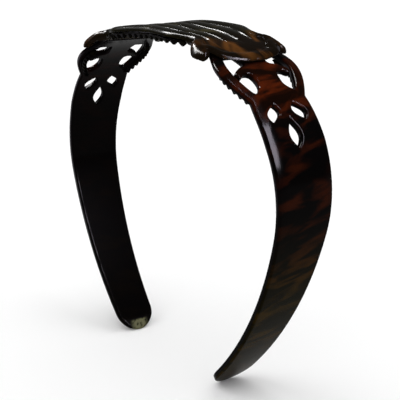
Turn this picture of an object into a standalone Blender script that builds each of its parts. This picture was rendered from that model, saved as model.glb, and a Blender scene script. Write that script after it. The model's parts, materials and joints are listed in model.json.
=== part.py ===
"""Tortoiseshell headband: a fluted crest, two arms with openwork heart ends and six comb strips."""
import math

import bmesh
import bpy
from mathutils import Vector

for item in list(bpy.data.objects):
    bpy.data.objects.remove(item, do_unlink=True)

MM = 0.001

# Hoop: four tangent arcs along the outer face of the arms, from the crown to a tip
CROWN_RADIUS = 170.0 * MM
CROWN_ARC = 19.5 * MM
SHOULDER_RADIUS = 56.0 * MM
SHOULDER_ARC = 54.5 * MM
SIDE_RADIUS = 44.5 * MM
SIDE_ARC = 32.5 * MM
ARM_RADIUS = 126.0 * MM
ARM_ARC = 73.5 * MM

# Side view of the hoop: tips lean to the front, and the arms bow and step a little to the rear
ARM_RAKE = math.radians(1.5)
ARM_BOW = 1.0 * MM
ARM_SETBACK = 0.6 * MM
SETBACK_START = 50.0 * MM
SETBACK_END = 85.0 * MM

# Arm: a sheet that tapers from the heart to a rounded tip
SHEET = 2.4 * MM
ARM_HALF = 11.7 * MM
TIP_HALF = 8.1 * MM
TIP_LENGTH = 9.0 * MM
NECK_HALF = 11.0 * MM
NECK_TO_ARM = 15.0 * MM

# Heart: the openwork end of an arm, along the hoop from the crown
OPENING_START = 40.0 * MM
OPENING_LENGTH = 17.6 * MM
HEART_FOOT = 2.8 * MM
HEART_WIDE_AT = 7.0 * MM
HEART_HALF = 15.8 * MM
LAP_HALF = 11.5 * MM
RIM_WIDTH = 4.0 * MM
SHIELD_HALF = 4.8 * MM

# Scroll tongue inside a heart opening
TONGUE_FALL = 5.0 * MM
TONGUE_DROP = 5.8 * MM
TONGUE_THICK = 2.2 * MM
TONGUE_GAP = 0.9 * MM

# Cut-outs below the heart: a leaf on each side and a spindle between them
LEAF_GAP = 2.1 * MM
LEAF_LENGTH = 5.9 * MM
LEAF_OUT = 3.8 * MM
LEAF_LEAN = 2.6 * MM
LEAF_HALF = 2.3 * MM
SPINDLE_GAP = 7.5 * MM
SPINDLE_LENGTH = 9.2 * MM
SPINDLE_HALF = 2.1 * MM
SPINDLE_BIAS = 1.2

# Crest: a fluted plate with a lobed collar at each end
WAIST_HALF = 15.6 * MM
FLARE_START = 4.0 * MM
FLARE_END = 16.0 * MM
FLARE_HALF = 16.4 * MM
PINCH_AT = 28.0 * MM
PINCH_HALF = 13.2 * MM
LOBE_LENGTH = 12.2 * MM
LOBE_HALF = 18.4 * MM
LOBE_WIDTH = 4.0 * MM
LOBE_DROOP = 2.4 * MM
LOBE_DEPTH = 2.0 * MM
NOTCH_RISE = 2.5 * MM
NOTCH_GAP = 0.4 * MM
COLLAR_END = 45.0 * MM
COLLAR_HALF = 8.0 * MM
RIB_COUNT = 5
RIB_HEIGHT = 1.05 * MM
RIB_SINK = 0.7 * MM
REAR_LIFT = 0.4 * MM
RIB_END = 29.0 * MM
RIB_ARC = 6.0 * MM
RIB_FADE = 2.5 * MM
GROOVE_LEVEL = -0.1 * MM
COLLAR_SWELL = 3.0 * MM
COLLAR_LEVEL = 1.5 * MM
COLLAR_DOME = 0.4 * MM
STEP_AT = 31.0 * MM
STEP_RAMP = 0.5 * MM
CROWN_FLAT = 5.0 * MM

# Rebates: the recessed edges of the crest's underside, with the plain seat between them
REBATE_WIDTH = 3.6 * MM

# Combs: toothed strips along the edges
CREST_COMB_SHEET = 0.8 * MM
CREST_COMB_RECESS = 0.3 * MM
CREST_COMB_INSET = 0.2 * MM
CREST_COMB_END = 24.5 * MM
CREST_TOOTH_PITCH = 3.5 * MM
CREST_TOOTH_ROOT = 2.1 * MM
CREST_TOOTH_LENGTH = 1.4 * MM
HEART_COMB_START = 1.0 * MM
HEART_COMB_LENGTH = 18.5 * MM
HEART_COMB_WIDTH = 2.0 * MM
HEART_COMB_SHEET = 0.5 * MM
HEART_COMB_INSET = 1.5 * MM
HEART_TOOTH_PITCH = 2.4 * MM
HEART_TOOTH_ROOT = 1.6 * MM
HEART_TOOTH_LENGTH = 1.2 * MM
TOOTH_TAPER = 0.25

# Bond line between pieces, and the spacing of points on curves and bends
FIT = 0.3 * MM
CURVE_STEP = 1.6 * MM
BEND_STEP = 5.0 * MM
RIB_FACETS = 4
GROOVE_STEP = 1.5 * MM
TIP_FACETS = 9
LEAF_FACETS = 7
SHARP_ANGLE = math.radians(35.0)

HOOP_ARCS = (
    (CROWN_RADIUS, CROWN_ARC),
    (SHOULDER_RADIUS, SHOULDER_ARC),
    (SIDE_RADIUS, SIDE_ARC),
    (ARM_RADIUS, ARM_ARC),
)
HOOP_LENGTH = sum(arc for radius, arc in HOOP_ARCS)
SEAT_HALF = WAIST_HALF - REBATE_WIDTH
LOBE_END = PINCH_AT + LOBE_LENGTH
NOTCH_OUT = LOBE_HALF - LOBE_WIDTH - NOTCH_GAP
LAP_START = STEP_AT + STEP_RAMP + FIT
OPENING_END = OPENING_START + OPENING_LENGTH
HEART_WIDEST = OPENING_START + HEART_WIDE_AT
HEART_END = OPENING_END + HEART_FOOT
TONGUE_TOP = OPENING_START + TONGUE_FALL
TONGUE_TIP = TONGUE_TOP + TONGUE_DROP
LEAF_START = HEART_END + LEAF_GAP
SPINDLE_START = HEART_END + SPINDLE_GAP


def hoop(s):
    """Point and slope of the hoop at a distance from the crown, in its own plane."""
    x, z, angle = 0.0, 0.0, 0.0
    rest = abs(s)
    for index, (radius, arc) in enumerate(HOOP_ARCS):
        last = index == len(HOOP_ARCS) - 1
        length = rest if last else min(rest, arc)
        turned = angle + length / radius
        x += radius * (math.sin(turned) - math.sin(angle))
        z += radius * (math.cos(turned) - math.cos(angle))
        angle = turned
        rest -= length
    return x, z, angle


HOOP_DROP = -hoop(HOOP_LENGTH)[1]


def clamp(value):
    return min(1.0, max(0.0, value))


def ease(start, end, value):
    """Smooth step from 0 at start to 1 at end."""
    t = clamp((value - start) / (end - start))
    return t * t * (3.0 - 2.0 * t)


def bend(s, v, w):
    """Place a point of the flat pattern on the hoop: s along, v across, w out of the outer face."""
    x, z, angle = hoop(s)
    x += w * math.sin(angle)
    z += w * math.cos(angle)
    fall = -z / HOOP_DROP
    lean = math.tan(ARM_RAKE) * z + ARM_BOW * 4.0 * fall * (1.0 - fall)
    setback = ARM_SETBACK * ease(SETBACK_START, SETBACK_END, abs(s))
    return Vector((math.copysign(x, s), v + lean + setback, z + SHEET))


def heart_edge(s):
    """Half width of the heart from the lap to the neck."""
    if s < HEART_WIDEST:
        return LAP_HALF + (HEART_HALF - LAP_HALF) * ease(LAP_START, HEART_WIDEST, s)
    turn = math.pi / 2 * (s - HEART_WIDEST) / (HEART_END - HEART_WIDEST)
    return NECK_HALF + (HEART_HALF - NECK_HALF) * math.cos(turn)


def flare(s):
    """Widening of the crest with its ribs, up to the flanks and back to the pinch before a lobe."""
    wide = FLARE_HALF / WAIST_HALF
    pinched = PINCH_HALF / WAIST_HALF
    out = 1.0 + (wide - 1.0) * ease(FLARE_START, FLARE_END, abs(s))
    return out + (pinched - wide) * ease(FLARE_END, PINCH_AT, abs(s))


def steps(start, end, spacing):
    """Evenly spaced values from start to end, both kept."""
    count = max(1, round(abs(end - start) / spacing))
    return [start + (end - start) * i / count for i in range(count + 1)]


def smooth(points):
    """Points along a Catmull-Rom curve through the given ones."""
    ends = [points[0]] + points + [points[-1]]
    out = [points[0]]
    for a, b, c, d in zip(ends, ends[1:], ends[2:], ends[3:]):
        count = max(1, round(math.dist(b, c) / CURVE_STEP))
        for i in range(1, count + 1):
            t = i / count
            out.append(tuple(
                0.5 * (2 * q + (r - p) * t + (2 * p - 5 * q + 4 * r - o) * t * t
                       + (3 * q - p - 3 * r + o) * t ** 3)
                for p, q, r, o in zip(a, b, c, d)))
    return out


def mirrored(half):
    """Close a half outline, which starts and ends on the centre line, with its other side."""
    return half + [(s, -v) for s, v in reversed(half[1:-1])]


def arm_outline():
    lap = [(LAP_START, 0.0)]
    heart = [(s, heart_edge(s)) for s in steps(LAP_START, HEART_END, CURVE_STEP)]
    shoulder = smooth([
        (HEART_END, NECK_HALF),
        (HEART_END + NECK_TO_ARM / 3, ARM_HALF - (ARM_HALF - NECK_HALF) / 3),
        (HEART_END + NECK_TO_ARM, ARM_HALF),
    ])
    tip_start = HOOP_LENGTH - TIP_LENGTH
    tip = []
    for i in range(TIP_FACETS):
        turn = math.pi / 2 * i / TIP_FACETS
        tip.append((tip_start + TIP_LENGTH * math.sin(turn), TIP_HALF * math.cos(turn)))
    return mirrored(lap + heart + shoulder[1:] + tip + [(HOOP_LENGTH, 0.0)])


def heart_opening(side):
    """Opening between the rim, the scroll tongue and the shield, on one side of the heart."""
    rim_end = OPENING_END - RIM_WIDTH / 2
    rim = [(s, heart_edge(s) - RIM_WIDTH) for s in steps(OPENING_START, rim_end, CURVE_STEP)]
    rim_foot = rim[-1]
    tip_out = heart_edge(TONGUE_TIP) - RIM_WIDTH - TONGUE_GAP
    middle = (SHIELD_HALF + tip_out) / 2
    root = (TONGUE_TIP - TONGUE_THICK / 4, SHIELD_HALF + RIM_WIDTH / 8)
    foot = smooth([
        rim_foot,
        (OPENING_END, (rim_foot[1] + SHIELD_HALF) / 2 + RIM_WIDTH / 5),
        (OPENING_END - RIM_WIDTH / 3, SHIELD_HALF + RIM_WIDTH / 4),
        ((OPENING_END + TONGUE_TIP) / 2, SHIELD_HALF),
        root,
    ])
    under = smooth([
        root,
        (TONGUE_TIP - TONGUE_THICK / 2, middle),
        (TONGUE_TIP, tip_out),
    ])
    over = smooth([
        (TONGUE_TIP, tip_out),
        (TONGUE_TIP - TONGUE_THICK, tip_out - TONGUE_THICK / 8),
        (TONGUE_TOP + TONGUE_DROP / 4, middle),
        (TONGUE_TOP, SHIELD_HALF),
        (OPENING_START, SHIELD_HALF + RIM_WIDTH / 5),
    ])
    loop = rim + foot[1:] + under[1:] + over[1:]
    return [(s, side * v) for s, v in loop]


def leaf(side):
    """Pointed oval cut-out that leans outwards on its way to the tip."""
    upper, lower = [], []
    for i in range(LEAF_FACETS + 1):
        t = i / LEAF_FACETS
        s = LEAF_START + LEAF_LENGTH * t
        v = LEAF_OUT + LEAF_LEAN * t
        belly = LEAF_HALF * math.sin(math.pi * t)
        upper.append((s, side * (v + belly)))
        lower.append((s, side * (v - belly)))
    return upper + lower[-2:0:-1]


def spindle():
    """Slender centre cut-out, pointed at both ends and fullest past its middle."""
    half = []
    for s in steps(0.0, 1.0, 1.0 / LEAF_FACETS):
        half.append((SPINDLE_START + SPINDLE_LENGTH * s, SPINDLE_HALF * math.sin(math.pi * s ** SPINDLE_BIAS)))
    return mirrored(half)


def crest_outline():
    """Outline of the crest before its flare: straight flanks, then a lobe and half a collar at each end."""
    flank = [(s, PINCH_HALF) for s in steps(0.0, PINCH_AT, CURVE_STEP)]
    lobe_in = LOBE_HALF - LOBE_WIDTH
    notch_at = LOBE_END - NOTCH_RISE
    lobe = smooth([
        (PINCH_AT, PINCH_HALF),
        (PINCH_AT + LOBE_LENGTH / 3, (PINCH_HALF + LOBE_HALF) / 2 + LOBE_WIDTH / 5),
        (PINCH_AT + LOBE_LENGTH * 2 / 3, LOBE_HALF),
        (LOBE_END - NOTCH_RISE / 3, LOBE_HALF - LOBE_WIDTH / 4),
        (LOBE_END, LOBE_HALF - LOBE_WIDTH / 2),
        (LOBE_END - NOTCH_RISE / 3, lobe_in),
    ])
    drop = COLLAR_END - notch_at
    collar = smooth([
        (notch_at, NOTCH_OUT),
        (notch_at + drop / 4, NOTCH_OUT - LOBE_WIDTH / 4),
        (notch_at + drop * 2 / 3, (NOTCH_OUT + COLLAR_HALF) / 2),
        (COLLAR_END, COLLAR_HALF / 2),
        (COLLAR_END, 0.0),
    ])
    quarter = flank + lobe[1:] + collar
    upper = [(-s, v) for s, v in reversed(quarter[1:])] + quarter
    return [(s, v * WAIST_HALF / PINCH_HALF) for s, v in mirrored(upper)]


def crest_top(s, v):
    """Height of the crest: half-round ribs along the band, a groove, then a smooth domed collar."""
    pitch = 2 * WAIST_HALF / RIB_COUNT
    across = (v + WAIST_HALF) / pitch
    offset = 2.0 * (across - math.floor(across)) - 1.0
    rib = math.sqrt(max(0.0, 1.0 - offset * offset)) if abs(v) < WAIST_HALF else 0.0
    beside = clamp(abs(v) / WAIST_HALF) ** 2
    sink = RIB_SINK * ease(0.0, FLARE_END, abs(s)) * (1.0 - beside)
    ribs = RIB_HEIGHT * rib + REAR_LIFT * clamp(across / RIB_COUNT) - sink
    rib_end = RIB_END - RIB_ARC * beside
    swell = ease(rib_end, rib_end + COLLAR_SWELL, abs(s))
    dome = COLLAR_LEVEL - COLLAR_DOME * beside
    collar = GROOVE_LEVEL + (dome - GROOVE_LEVEL) * swell
    past = ease(rib_end - RIB_FADE, rib_end, abs(s))
    return ribs + (collar - ribs) * past - lobe_droop(s, v)


def lobe_root():
    """Half width past which a lobe may droop, clear of the notch and of the heart below it."""
    return max(NOTCH_OUT, heart_edge(LOBE_END))


def lobe_droop(s, v):
    """Fall of the lobes beside the arms."""
    root = lobe_root()
    out = clamp((abs(v) * flare(s) - root) / (LOBE_HALF - root))
    return LOBE_DROOP * out * out * ease(PINCH_AT, PINCH_AT + LOBE_LENGTH / 2, abs(s))


def crest_under(s, v):
    """Underside of the crest: stepped up over the laps, deep under the lobes and rebated for the combs."""
    lap = clamp((abs(s) - STEP_AT) / STEP_RAMP)
    beside = clamp((abs(v) - SEAT_HALF) / STEP_RAMP)
    along = clamp((CREST_COMB_END + FIT + STEP_RAMP - abs(s)) / STEP_RAMP)
    rebate = (CREST_COMB_SHEET + FIT) * beside * along
    lobe = lap * clamp((abs(v) * flare(s) - lobe_root() - FIT) / STEP_RAMP)
    over_lap = -SHEET + (SHEET + FIT) * lap + rebate - lobe_droop(s, v)
    return over_lap + (-LOBE_DEPTH - over_lap) * lobe


def arm_top(s, v):
    return 0.0


def arm_under(s, v):
    return -SHEET


def no_flare(s):
    return 1.0


def new_material(name, colour, roughness):
    """Glossy plastic of one colour."""
    material = bpy.data.materials.new(name)
    material.use_nodes = True
    shader = material.node_tree.nodes["Principled BSDF"]
    shader.inputs["Base Color"].default_value = (*colour, 1.0)
    shader.inputs["Roughness"].default_value = roughness
    shader.inputs["Metallic"].default_value = 0.0
    material.diffuse_color = (*colour, 1.0)
    return material


def new_object(name, mesh, origin, material):
    """Make a named object whose origin is the given point of the hoop."""
    bmesh.ops.recalc_face_normals(mesh, faces=mesh.faces)
    if mesh.calc_volume(signed=True) < 0.0:
        bmesh.ops.reverse_faces(mesh, faces=mesh.faces)
    bmesh.ops.translate(mesh, vec=-origin, verts=mesh.verts)
    data = bpy.data.meshes.new(name)
    mesh.to_mesh(data)
    mesh.free()
    data.materials.append(material)
    data.shade_smooth()
    data.set_sharp_from_angle(angle=SHARP_ANGLE)
    piece = bpy.data.objects.new(name, data)
    piece.location = origin
    bpy.context.scene.collection.objects.link(piece)
    return piece


def flat_sheet(loops, s_cuts, v_cuts):
    """Fill an outline with holes, then score it across and along where it will bend."""
    mesh = bmesh.new()
    for loop in loops:
        verts = [mesh.verts.new((s, v, 0.0)) for s, v in loop]
        for a, b in zip(verts, verts[1:] + verts[:1]):
            mesh.edges.new((a, b))
    bmesh.ops.triangle_fill(mesh, use_beauty=True, edges=mesh.edges)
    cuts = [((s, 0.0, 0.0), (1.0, 0.0, 0.0)) for s in s_cuts]
    cuts += [((0.0, v, 0.0), (0.0, 1.0, 0.0)) for v in v_cuts]
    for point, normal in cuts:
        geometry = mesh.verts[:] + mesh.edges[:] + mesh.faces[:]
        bmesh.ops.bisect_plane(mesh, geom=geometry, dist=FIT / 10, plane_co=point, plane_no=normal)
    return mesh


def keep_scores(mesh, s_cuts, v_cuts):
    """Leave only the score lines of a sheet, as a regular grid inside its outline."""
    def scored(edge, axis, cuts):
        a, b = (vert.co[axis] for vert in edge.verts)
        return any(max(abs(a - cut), abs(b - cut)) < FIT / 10 for cut in cuts)
    spare = [edge for edge in mesh.edges if not edge.is_boundary
             and not scored(edge, 0, s_cuts) and not scored(edge, 1, v_cuts)]
    bmesh.ops.dissolve_edges(mesh, edges=spare, use_verts=False)
    loose = [vert for vert in mesh.verts if len(vert.link_edges) == 2 and not vert.is_boundary]
    bmesh.ops.dissolve_verts(mesh, verts=loose)
    return mesh


def bent_plate(mesh, under, over, widen, side):
    """Thicken a flat sheet, widen it and bend it onto one side of the hoop."""
    lower = mesh.verts[:]
    made = bmesh.ops.extrude_face_region(mesh, geom=mesh.faces[:], use_keep_orig=True)
    upper = [item for item in made["geom"] if isinstance(item, bmesh.types.BMVert)]
    for verts, level in ((upper, over), (lower, under)):
        for vert in verts:
            s, v = vert.co.x, vert.co.y
            vert.co = bend(side * s, v * widen(s), level(s, v))
    return mesh


def make_crest(material):
    s_cuts = []
    for end in (-1.0, 1.0):
        comb_end = CREST_COMB_END + FIT
        s_cuts += [end * s for s in steps(CROWN_FLAT / 2, FLARE_END, BEND_STEP)]
        s_cuts += [end * s for s in steps(FLARE_END, RIB_END + COLLAR_SWELL, GROOVE_STEP)[1:]]
        s_cuts += [end * comb_end, end * (comb_end + STEP_RAMP), end * STEP_AT, end * (STEP_AT + STEP_RAMP)]
        s_cuts += [end * s for s in steps(RIB_END + COLLAR_SWELL, COLLAR_END, BEND_STEP / 2)[1:-1]]
    v_cuts = steps(-WAIST_HALF, WAIST_HALF, 2 * WAIST_HALF / (RIB_COUNT * RIB_FACETS))
    lobe_side = (lobe_root() + FIT) * WAIST_HALF / PINCH_HALF
    lobe_step = STEP_RAMP * WAIST_HALF / PINCH_HALF
    for half in (SEAT_HALF, SEAT_HALF + STEP_RAMP, lobe_side, lobe_side + lobe_step):
        v_cuts += [-half, half]
    mesh = keep_scores(flat_sheet([crest_outline()], s_cuts, v_cuts), s_cuts, v_cuts)
    return new_object("crest", bent_plate(mesh, crest_under, crest_top, flare, 1.0), Vector(), material)


def make_arm(name, side, origin, material):
    loops = [arm_outline(), heart_opening(1.0), heart_opening(-1.0), leaf(1.0), leaf(-1.0), spindle()]
    s_cuts = steps(LAP_START, HOOP_LENGTH, BEND_STEP)[1:-1]
    mesh = flat_sheet(loops, s_cuts, [])
    return new_object(name, bent_plate(mesh, arm_under, arm_top, no_flare, side), origin, material)


def make_comb(name, edges, levels, start, end, tooth, side, origin, material):
    """Strip between two edges, with a tapered tooth at every pitch on its inner face."""
    top, bottom = levels
    wanted_pitch, root, length = tooth
    count = max(2, round((end - start) / wanted_pitch))
    pitch = (end - start) / count
    stations = [start]
    for i in range(count):
        middle = start + (i + 0.5) * pitch
        stations += [middle - root / 2, middle + root / 2]
    stations.append(end)
    mesh = bmesh.new()
    rings = []
    for s in stations:
        in_v, out_v = edges(s)
        corners = ((out_v, top), (in_v, top), (in_v, bottom), (out_v, bottom))
        rings.append([mesh.verts.new(bend(side * s, v, w)) for v, w in corners])
    tooth_faces = []
    for index, (ring, after) in enumerate(zip(rings, rings[1:])):
        for k in range(4):
            face = mesh.faces.new((ring[k], ring[k - 3], after[k - 3], after[k]))
            if k == 2 and index % 2 == 1:
                tooth_faces.append((face, (stations[index] + stations[index + 1]) / 2))
    mesh.faces.new(rings[0])
    mesh.faces.new(rings[-1])
    bmesh.ops.recalc_face_normals(mesh, faces=mesh.faces)
    for face, s in tooth_faces:
        made = bmesh.ops.extrude_discrete_faces(mesh, faces=[face])
        peak = made["faces"][0]
        middle = peak.calc_center_median()
        inward = bend(side * s, 0.0, -1.0) - bend(side * s, 0.0, 0.0)
        inward.y = 0.0
        for vert in peak.verts:
            vert.co = middle + (vert.co - middle) * TOOTH_TAPER + inward.normalized() * length
    return new_object(name, mesh, origin, material)


def make_crest_comb(end, across, material):
    """Comb in a rebate of the crest, set a little above its underside."""
    def edges(s):
        inner = SEAT_HALF + STEP_RAMP + FIT
        outer = WAIST_HALF - CREST_COMB_INSET
        return across * inner * flare(s), across * outer * flare(s)
    tooth = (CREST_TOOTH_PITCH, CREST_TOOTH_ROOT, CREST_TOOTH_LENGTH)
    name = "crest_" + end + "_comb"
    levels = (CREST_COMB_SHEET - SHEET, CREST_COMB_RECESS - SHEET)
    make_comb(name, edges, levels, -CREST_COMB_END, CREST_COMB_END, tooth, 1.0, Vector(), material)


def make_heart_comb(hand, side, end, across, pivot, material):
    """Comb under the rim of a heart."""
    def edges(s):
        outer = heart_edge(s) - HEART_COMB_INSET
        return across * (outer - HEART_COMB_WIDTH), across * outer
    tooth = (HEART_TOOTH_PITCH, HEART_TOOTH_ROOT, HEART_TOOTH_LENGTH)
    name = hand + "_" + end + "_comb"
    start = OPENING_START + HEART_COMB_START
    levels = (-SHEET - FIT, -SHEET - FIT - HEART_COMB_SHEET)
    make_comb(name, edges, levels, start, start + HEART_COMB_LENGTH, tooth, side, pivot, material)


def main():
    dark = new_material("tortoiseshell_dark", (0.020, 0.009, 0.006), 0.18)
    amber = new_material("tortoiseshell_amber", (0.090, 0.045, 0.018), 0.18)
    comb = new_material("tortoiseshell_comb", (0.014, 0.012, 0.009), 0.3)
    ends = (("front", -1.0), ("rear", 1.0))
    make_crest(amber)
    for end, across in ends:
        make_crest_comb(end, across, comb)
    for hand, side in (("left", -1.0), ("right", 1.0)):
        pivot = bend(side * COLLAR_END, 0.0, 0.0)
        make_arm(hand + "_arm", side, pivot, dark)
        for end, across in ends:
            make_heart_comb(hand, side, end, across, pivot, comb)


main()
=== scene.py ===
# %% [markdown]
# # A tortoiseshell headband
# A stiff band of dark plastic: a fluted crest over the crown, two sprung arms with openwork hearts, and
# small combs inside. Its solids come first, as a frame that never moves. All that is drawn below is
# fitted to them.

# %% Load the frame
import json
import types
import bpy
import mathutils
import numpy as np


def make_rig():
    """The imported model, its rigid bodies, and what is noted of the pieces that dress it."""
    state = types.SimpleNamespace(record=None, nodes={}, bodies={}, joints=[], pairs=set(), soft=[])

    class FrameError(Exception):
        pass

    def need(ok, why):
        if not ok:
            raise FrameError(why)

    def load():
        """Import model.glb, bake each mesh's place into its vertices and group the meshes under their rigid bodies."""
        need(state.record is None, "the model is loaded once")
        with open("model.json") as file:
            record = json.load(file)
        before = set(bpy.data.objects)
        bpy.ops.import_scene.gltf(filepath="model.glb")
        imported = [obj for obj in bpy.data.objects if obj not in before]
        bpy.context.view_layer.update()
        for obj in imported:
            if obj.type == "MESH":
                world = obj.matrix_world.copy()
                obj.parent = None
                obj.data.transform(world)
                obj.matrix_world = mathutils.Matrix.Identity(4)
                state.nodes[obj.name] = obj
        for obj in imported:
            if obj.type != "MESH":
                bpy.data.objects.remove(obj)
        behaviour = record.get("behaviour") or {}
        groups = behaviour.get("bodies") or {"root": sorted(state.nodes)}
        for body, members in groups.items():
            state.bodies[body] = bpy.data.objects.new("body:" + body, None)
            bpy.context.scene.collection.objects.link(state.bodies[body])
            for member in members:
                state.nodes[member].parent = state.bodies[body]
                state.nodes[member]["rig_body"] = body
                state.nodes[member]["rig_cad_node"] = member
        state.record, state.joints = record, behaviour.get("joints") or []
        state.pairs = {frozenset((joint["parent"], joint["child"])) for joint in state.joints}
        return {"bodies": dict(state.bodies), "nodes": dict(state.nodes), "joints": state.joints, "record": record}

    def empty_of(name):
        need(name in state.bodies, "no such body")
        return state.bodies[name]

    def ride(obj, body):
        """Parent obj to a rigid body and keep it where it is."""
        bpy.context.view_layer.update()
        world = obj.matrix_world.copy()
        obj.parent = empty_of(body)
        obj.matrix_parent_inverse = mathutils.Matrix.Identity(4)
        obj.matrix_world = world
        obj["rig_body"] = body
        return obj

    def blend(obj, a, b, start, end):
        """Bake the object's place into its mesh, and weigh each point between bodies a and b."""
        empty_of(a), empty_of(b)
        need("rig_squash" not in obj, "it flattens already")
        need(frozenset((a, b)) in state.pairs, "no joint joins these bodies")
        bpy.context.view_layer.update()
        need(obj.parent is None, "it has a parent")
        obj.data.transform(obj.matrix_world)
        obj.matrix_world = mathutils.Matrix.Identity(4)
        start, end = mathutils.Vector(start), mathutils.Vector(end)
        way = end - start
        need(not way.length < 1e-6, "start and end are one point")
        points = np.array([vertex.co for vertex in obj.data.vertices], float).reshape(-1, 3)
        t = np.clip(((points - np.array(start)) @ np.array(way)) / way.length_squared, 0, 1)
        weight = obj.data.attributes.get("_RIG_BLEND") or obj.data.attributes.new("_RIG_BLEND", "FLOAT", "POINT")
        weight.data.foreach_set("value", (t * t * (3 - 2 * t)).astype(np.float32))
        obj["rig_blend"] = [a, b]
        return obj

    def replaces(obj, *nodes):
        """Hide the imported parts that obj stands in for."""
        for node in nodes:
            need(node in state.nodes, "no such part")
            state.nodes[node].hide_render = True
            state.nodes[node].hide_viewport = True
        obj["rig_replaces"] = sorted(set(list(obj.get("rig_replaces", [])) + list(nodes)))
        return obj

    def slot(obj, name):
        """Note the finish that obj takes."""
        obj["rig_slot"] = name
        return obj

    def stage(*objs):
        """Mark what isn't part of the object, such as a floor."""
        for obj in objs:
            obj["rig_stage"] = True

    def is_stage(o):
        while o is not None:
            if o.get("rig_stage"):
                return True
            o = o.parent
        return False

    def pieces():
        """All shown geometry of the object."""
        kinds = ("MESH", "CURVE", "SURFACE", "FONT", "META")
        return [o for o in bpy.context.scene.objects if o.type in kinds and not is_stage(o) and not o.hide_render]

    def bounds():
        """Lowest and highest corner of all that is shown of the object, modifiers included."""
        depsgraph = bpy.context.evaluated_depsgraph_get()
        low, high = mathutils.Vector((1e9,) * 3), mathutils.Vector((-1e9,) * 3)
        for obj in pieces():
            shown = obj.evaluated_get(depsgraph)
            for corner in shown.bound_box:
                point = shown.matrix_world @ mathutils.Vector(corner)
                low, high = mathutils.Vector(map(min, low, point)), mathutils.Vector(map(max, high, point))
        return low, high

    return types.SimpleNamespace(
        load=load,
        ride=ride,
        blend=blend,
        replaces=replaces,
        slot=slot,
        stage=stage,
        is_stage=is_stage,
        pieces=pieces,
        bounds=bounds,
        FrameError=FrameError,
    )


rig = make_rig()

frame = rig.load()

import json
import math

import bpy
from mathutils import Matrix, Vector
from mathutils.kdtree import KDTree

cad_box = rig.bounds()
print("solids span", cad_box)

# %% [markdown]
# The camera looks at the band as the photograph does: from a little above and well round to its side.
# It could be aimed by eye. Two angles, a distance and a small roll are used instead, because they can
# be fitted to the outline, and a lens shift puts the band off centre as in the picture.

# %% Camera
FRAME_PIXELS = 400.0
SENSOR = 36.0
VIEW_AZIMUTH = math.radians(55.605)
VIEW_ELEVATION = math.radians(15.982)
VIEW_ROLL = math.radians(-1.396)
VIEW_DISTANCE = 0.32134
VIEW_FOCAL_PIXELS = 858.59
VIEW_CENTRE_PIXELS = (183.29, 216.91)
VIEW_TARGET = Vector((0.0, 0.0006, -0.0676))


def add_camera():
    back = Vector((math.sin(VIEW_AZIMUTH) * math.cos(VIEW_ELEVATION),
                   -math.cos(VIEW_AZIMUTH) * math.cos(VIEW_ELEVATION),
                   math.sin(VIEW_ELEVATION)))
    right = Vector((math.cos(VIEW_AZIMUTH), math.sin(VIEW_AZIMUTH), 0.0))
    up = back.cross(right)
    rolled_right = right * math.cos(VIEW_ROLL) + up * math.sin(VIEW_ROLL)
    rolled_up = up * math.cos(VIEW_ROLL) - right * math.sin(VIEW_ROLL)
    bpy.ops.object.camera_add(location=VIEW_TARGET + back * VIEW_DISTANCE)
    camera = bpy.context.object
    axes = Matrix((rolled_right, rolled_up, back)).transposed()
    camera.rotation_euler = axes.to_euler()
    camera.data.sensor_width = SENSOR
    camera.data.lens = VIEW_FOCAL_PIXELS / FRAME_PIXELS * SENSOR
    camera.data.shift_x = (FRAME_PIXELS / 2 - VIEW_CENTRE_PIXELS[0]) / FRAME_PIXELS
    camera.data.shift_y = (VIEW_CENTRE_PIXELS[1] - FRAME_PIXELS / 2) / FRAME_PIXELS
    bpy.context.scene.camera = camera
    return camera


camera = add_camera()
print("lens", round(camera.data.lens, 1))
print("lens shift", round(camera.data.shift_x, 3), round(camera.data.shift_y, 3))

# %% [markdown]
# Every piece of the band is drawn flat first, as a pattern cutter would, and is then bent. It could be
# sculpted in place, but on a flat pattern each width and opening is a plain measure. The pattern is in
# millimetres: s runs along the band from the crown, v runs across it and w points out of its outer
# face. The bend follows four arcs that meet without a kink, the same as in the solids.

# %% The hoop
MM = 0.001
SHEET = 2.4
HOOP_ARCS = ((170.0, 19.5), (56.0, 54.5), (44.5, 32.5), (126.0, 73.5))
HOOP_LENGTH = sum(arc for radius, arc in HOOP_ARCS)
ARM_RAKE = math.radians(1.5)
ARM_BOW = 1.0
ARM_SETBACK = 0.6
SETBACK_START = 50.0
SETBACK_END = 85.0


def hoop(s):
    """Point and slope of the hoop at a distance from the crown."""
    x, z, angle = 0.0, 0.0, 0.0
    rest = abs(s)
    for index, (radius, arc) in enumerate(HOOP_ARCS):
        last = index == len(HOOP_ARCS) - 1
        length = rest if last else min(rest, arc)
        turned = angle + length / radius
        x += radius * (math.sin(turned) - math.sin(angle))
        z += radius * (math.cos(turned) - math.cos(angle))
        angle = turned
        rest -= length
    return x, z, angle


HOOP_DROP = -hoop(HOOP_LENGTH)[1]


def clamp(value):
    return min(1.0, max(0.0, value))


def ease(start, end, value):
    """Smooth step from 0 at start to 1 at end."""
    t = clamp((value - start) / (end - start))
    return t * t * (3.0 - 2.0 * t)


def bend(s, v, w):
    """Place of a point of the pattern on the hoop, in metres."""
    x, z, angle = hoop(s)
    x += w * math.sin(angle)
    z += w * math.cos(angle)
    fall = -z / HOOP_DROP
    lean = math.tan(ARM_RAKE) * z + ARM_BOW * 4.0 * fall * (1.0 - fall)
    setback = ARM_SETBACK * ease(SETBACK_START, SETBACK_END, abs(s))
    return Vector((math.copysign(x, s), v + lean + setback, z + SHEET)) * MM


print("tip of the right arm at", [round(value, 4) for value in bend(HOOP_LENGTH, 0, 0)])

# %% [markdown]
# An outline on the pattern is a list of points. Round stretches are worked out, and freer ones run as a
# smooth curve through a few chosen points, which are easier to change than a long list.

# %% Outlines
CURVE_STEP = 0.6


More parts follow.
